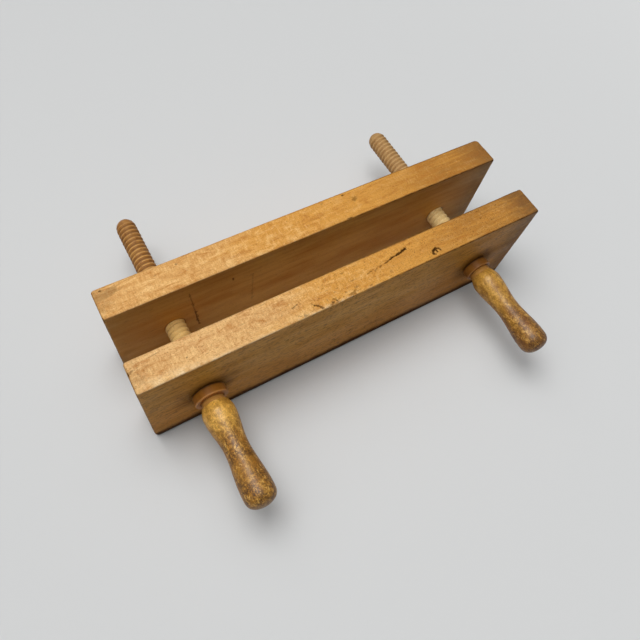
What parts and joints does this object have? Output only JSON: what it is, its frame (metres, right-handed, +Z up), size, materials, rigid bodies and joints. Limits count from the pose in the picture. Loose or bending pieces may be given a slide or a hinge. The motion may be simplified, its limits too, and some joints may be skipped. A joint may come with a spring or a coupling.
{
  "type": "bookbinding finishing press",
  "caption": "Wooden finishing press for bookbinding: cheeks drawn together by long wooden screws with turned handles, to hold a book upright by its spine.",
  "frame": {"origin": "on the resting plane, below the middle of the whole press", "axes": "+X along the cheeks, +Y from the handles towards the screw tips, +Z up"},
  "size_m": [0.432, 0.3288, 0.123],
  "materials": {
    "cheek_wood": "worn, waxed beech, honey tan",
    "screw_wood": "raw pale turned wood with cut threads",
    "collar_wood": "plain orange-brown turned wood",
    "handle_wood": "amber varnish over dense dark flecks, glossy"
  },
  "bodies": {
    "front_jaw": {"front_cheek": "cheek_wood"},
    "rear_jaw": {"rear_cheek": "cheek_wood"},
    "left_spindle": {"left_screw": "screw_wood", "left_collar": "collar_wood", "left_handle": "handle_wood"},
    "right_spindle": {"right_screw": "screw_wood", "right_collar": "collar_wood", "right_handle": "handle_wood"}
  },
  "joints": [
    {"name": "jaw_slide", "type": "slide", "parent": "front_jaw", "child": "rear_jaw", "axis": [0, 1, 0], "range_m": [-0.0433, 0.085]},
    {"name": "left_screw_turn", "type": "hinge", "parent": "front_jaw", "child": "left_spindle", "pos_m": [-0.1575, -0.04815, 0.06], "axis": [0, 1, 0], "range_deg": [-6025, 3070]},
    {"name": "right_screw_turn", "type": "hinge", "parent": "front_jaw", "child": "right_spindle", "pos_m": [0.1575, -0.04815, 0.06], "axis": [0, 1, 0], "range_deg": [-6025, 3070]}
  ],
  "couplings": [
    {"joint": "left_screw_turn", "follows": "jaw_slide", "rad_per_m": -1236.8},
    {"joint": "right_screw_turn", "follows": "jaw_slide", "rad_per_m": -1236.8}
  ]
}
